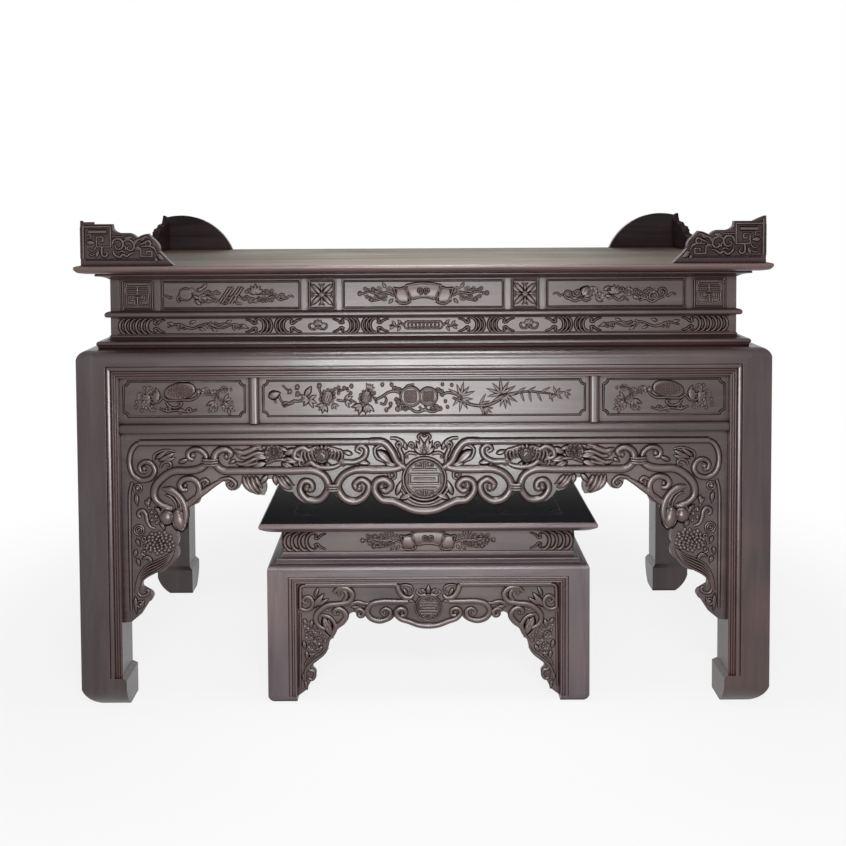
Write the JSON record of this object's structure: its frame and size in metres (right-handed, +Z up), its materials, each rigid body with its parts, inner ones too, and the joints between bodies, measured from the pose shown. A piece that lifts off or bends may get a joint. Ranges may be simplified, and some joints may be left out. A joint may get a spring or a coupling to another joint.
{
  "type": "altar table",
  "caption": "Carved altar table with a raised waist, corner ears, scalloped aprons and hoof feet, and a low offering table that slides out from beneath.",
  "frame": {"origin": "on the floor, at the centre of the altar table's footprint", "axes": "+X to the right along the width, +Y to the back, +Z up; the carved front faces -Y"},
  "size_m": [1.944, 1.044, 1.387],
  "materials": {
    "polished_top": "satin lacquered rosewood, long grain",
    "frame_rosewood": "satin lacquered rosewood, legs, rails and mouldings",
    "carved_panels": "satin lacquered rosewood, carved in low relief",
    "carved_aprons": "satin lacquered rosewood, carved in high relief",
    "ear_boards": "satin lacquered rosewood, dark corner boards",
    "low_frame": "satin lacquered rosewood",
    "dark_low_top": "near-black polished lacquered wood",
    "inner_wood": "plain stained wood, unpolished"
  },
  "bodies": {
    "altar_table": {"back_apron": "carved_aprons", "back_frieze": "carved_panels", "back_left_ear": "ear_boards", "back_left_leg": "frame_rosewood", "back_left_side_ear": "ear_boards", "back_right_ear": "ear_boards", "back_right_leg": "frame_rosewood", "back_right_side_ear": "ear_boards", "back_shoulder_rail": "frame_rosewood", "bead_rail": "frame_rosewood", "end_friezes": "carved_panels", "front_apron": "carved_aprons", "front_frieze": "carved_panels", "front_left_ear": "ear_boards", "front_left_leg": "frame_rosewood", "front_left_side_ear": "ear_boards", "front_right_ear": "ear_boards", "front_right_leg": "frame_rosewood", "front_right_side_ear": "ear_boards", "front_shoulder_rail": "frame_rosewood", "ledge_moulding": "frame_rosewood", "left_apron": "carved_aprons", "left_shoulder_rail": "frame_rosewood", "lower_back_panel": "carved_panels", "lower_centre_panel": "carved_panels", "lower_left_end_panel": "carved_panels", "lower_left_panel": "carved_panels", "lower_rails": "frame_rosewood", "lower_right_end_panel": "carved_panels", "lower_right_panel": "carved_panels", "muntins": "frame_rosewood", "right_apron": "carved_aprons", "right_shoulder_rail": "frame_rosewood", "top_back_rail": "polished_top", "top_battens": "inner_wood", "top_front_rail": "polished_top", "top_left_rail": "polished_top", "top_panel": "polished_top", "top_right_rail": "polished_top", "under_top_moulding": "frame_rosewood", "upper_back_panel": "carved_panels", "upper_centre_panel": "carved_panels", "upper_corner_tiles": "carved_panels", "upper_flower_tiles": "carved_panels", "upper_left_end_panel": "carved_panels", "upper_left_panel": "carved_panels", "upper_posts": "frame_rosewood", "upper_right_end_panel": "carved_panels", "upper_right_panel": "carved_panels", "upper_struts": "frame_rosewood"},
    "offering_table": {"low_back_apron": "carved_aprons", "low_end_aprons": "carved_aprons", "low_friezes": "carved_panels", "low_front_apron": "carved_aprons", "low_ledge_moulding": "low_frame", "low_legs": "low_frame", "low_shoulder_rails": "low_frame", "low_top_battens": "inner_wood", "low_top_frame": "low_frame", "low_top_panel": "dark_low_top"}
  },
  "joints": [
    {"name": "offering_table_slide", "type": "slide", "parent": "altar_table", "child": "offering_table", "axis": [0, -1, 0], "range_m": [0, 0.7]}
  ]
}
